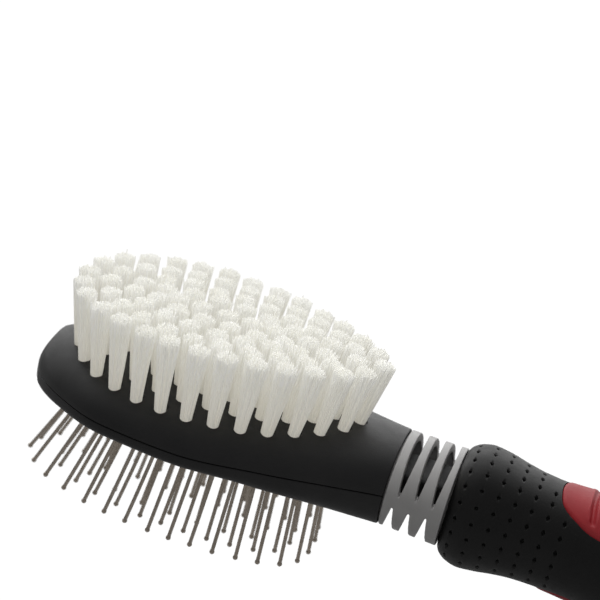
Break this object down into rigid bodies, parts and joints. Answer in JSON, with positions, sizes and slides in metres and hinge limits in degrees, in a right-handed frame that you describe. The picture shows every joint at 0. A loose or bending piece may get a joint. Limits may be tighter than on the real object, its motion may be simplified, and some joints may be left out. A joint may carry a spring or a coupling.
{
  "type": "double-sided pet grooming brush",
  "caption": "Oval two-sided grooming brush with nylon tufts above, ball-tipped pins in a rubber cushion below, a ribbed flexible neck and a soft overmoulded handle.",
  "frame": {"origin": "centre of the hanging hole in the handle's tail", "axes": "+X along the handle from the head towards the tail, +Z towards the bristle side, +Y across the head"},
  "size_m": [0.2378, 0.0584, 0.0567],
  "materials": {
    "head_black": "fine moulded grain, satin",
    "bristle_nylon": "translucent warm white nylon filament",
    "anchor_wire": "flat wire",
    "cushion_rubber": "matt",
    "liner_textile": "woven backing",
    "pin_steel": "drawn wire, satin",
    "neck_grey": "satin elastomer",
    "core_black": "matt",
    "core_red": "satin moulded",
    "grip_black": "soft-touch, dimpled",
    "pad_red": "soft-touch"
  },
  "bodies": {
    "handle": {"handle_core": "core_red", "grip_sleeve": "grip_black", "thumb_pad": "pad_red", "finger_pad": "pad_red", "neck_sleeve": "neck_grey", "neck_core": "core_black"},
    "head": {"bristle_shell": "head_black", "pin_shell": "head_black", "tufts_outer_ring": "bristle_nylon", "tufts_second_ring": "bristle_nylon", "tufts_third_ring": "bristle_nylon", "tufts_fourth_ring": "bristle_nylon", "tufts_centre_row": "bristle_nylon", "tuft_anchors": "anchor_wire", "pin_cushion": "cushion_rubber"},
    "pin_bed": {"pins_outer_ring": "pin_steel", "pins_middle_ring": "pin_steel", "pins_inner_ring": "pin_steel", "cushion_liner": "liner_textile"}
  },
  "joints": [
    {"name": "neck_flex", "type": "hinge", "parent": "handle", "child": "head", "pos_m": [-0.123, 0, -0.0006], "axis": [0, 1, 0], "range_deg": [-10, 10], "stiffness_Nm_per_rad": 3, "deforming": ["neck_sleeve", "neck_core"]},
    {"name": "pin_bed_press", "type": "slide", "parent": "head", "child": "pin_bed", "axis": [0, 0, 1], "range_m": [0, 0.0015], "stiffness_N_per_m": 6000, "deforming": ["pin_cushion"]}
  ]
}
